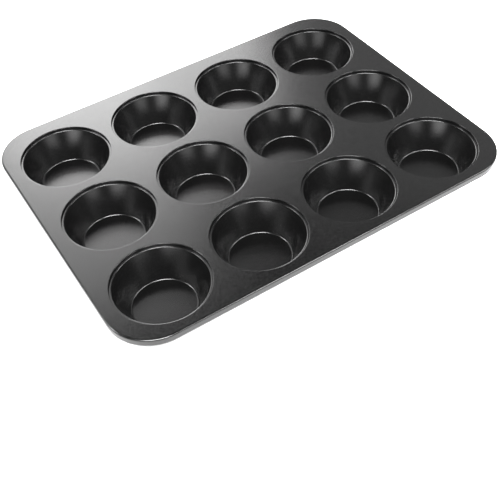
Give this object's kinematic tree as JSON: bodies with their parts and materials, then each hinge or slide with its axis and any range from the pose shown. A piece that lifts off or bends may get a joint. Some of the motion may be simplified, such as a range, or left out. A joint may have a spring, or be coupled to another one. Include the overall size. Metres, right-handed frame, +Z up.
{
  "type": "muffin tin",
  "caption": "Rectangular muffin tin: flat steel deck with round tapered cups locked into turned-down holes, and a flange wrapped around a rim wire.",
  "frame": {"origin": "on the surface the tin stands on, under the middle of its outline", "axes": "+X along the rows of four cups, +Y along the columns of three towards the wider back margin, +Z up out of the cups"},
  "size_m": [0.35, 0.267, 0.0268],
  "materials": {
    "nonstick_coating": "satin black non-stick coating with a fine grain, baked onto carbon steel sheet",
    "wire_steel": "plain drawn steel wire, dulled"
  },
  "bodies": {
    "root": {"top_plate": "nonstick_coating", "cup_row1_col1": "nonstick_coating", "cup_row1_col2": "nonstick_coating", "cup_row1_col3": "nonstick_coating", "cup_row1_col4": "nonstick_coating", "cup_row2_col1": "nonstick_coating", "cup_row2_col2": "nonstick_coating", "cup_row2_col3": "nonstick_coating", "cup_row2_col4": "nonstick_coating", "cup_row3_col1": "nonstick_coating", "cup_row3_col2": "nonstick_coating", "cup_row3_col3": "nonstick_coating", "cup_row3_col4": "nonstick_coating", "rim_wire": "wire_steel"}
  },
  "joints": []
}
